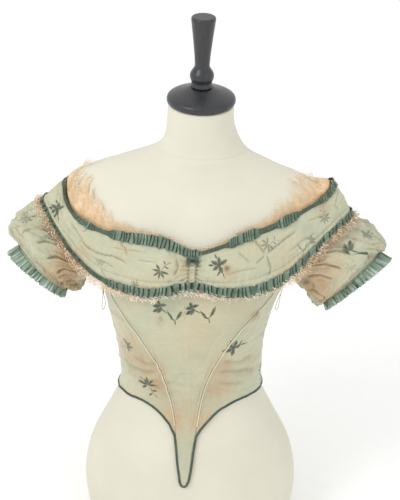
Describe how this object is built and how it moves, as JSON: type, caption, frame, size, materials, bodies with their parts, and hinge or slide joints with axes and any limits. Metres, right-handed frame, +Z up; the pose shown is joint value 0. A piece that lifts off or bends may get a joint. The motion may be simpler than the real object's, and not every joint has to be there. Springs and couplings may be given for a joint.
{
  "type": "evening bodice on dress form",
  "caption": "Off-the-shoulder mid-19th-century evening bodice of pale sage silk with leaf sprigs, teal pleated frills and lace, pointed waist, on a limbless dress form",
  "frame": {"origin": "the middle of the dress form's flat base", "axes": "+Z up, front toward -Y, +X to the right of someone who looks at the front"},
  "size_m": [0.5451, 0.2663, 0.7897],
  "materials": {
    "silk": "soft sheen",
    "ribbon": "satin",
    "piping": "soft sheen",
    "lace": "matte",
    "jersey": "matte",
    "turned_wood": "satin lacquer"
  },
  "bodies": {
    "root": {"form_body": "jersey", "neck_cap": "turned_wood", "neck_finial": "turned_wood", "front_centre": "silk", "side_front_r": "silk", "side_front_l": "silk", "back_side_r": "silk", "back_side_l": "silk", "back_r": "silk", "back_l": "silk", "hem_piping": "ribbon", "seam_piping_r": "piping", "seam_piping_l": "piping", "bertha_front_r": "silk", "bertha_back_r": "silk", "bertha_back_l": "silk", "bertha_front_l": "silk", "centre_gather": "silk", "neck_frill": "ribbon", "bertha_frill": "ribbon", "centre_bow": "ribbon", "neck_lace": "lace", "bertha_lace": "lace", "sleeve_r": "silk", "cuff_band_r": "silk", "cuff_frill_r": "ribbon", "sleeve_l": "silk", "cuff_band_l": "silk", "cuff_frill_l": "ribbon"}
  },
  "joints": []
}
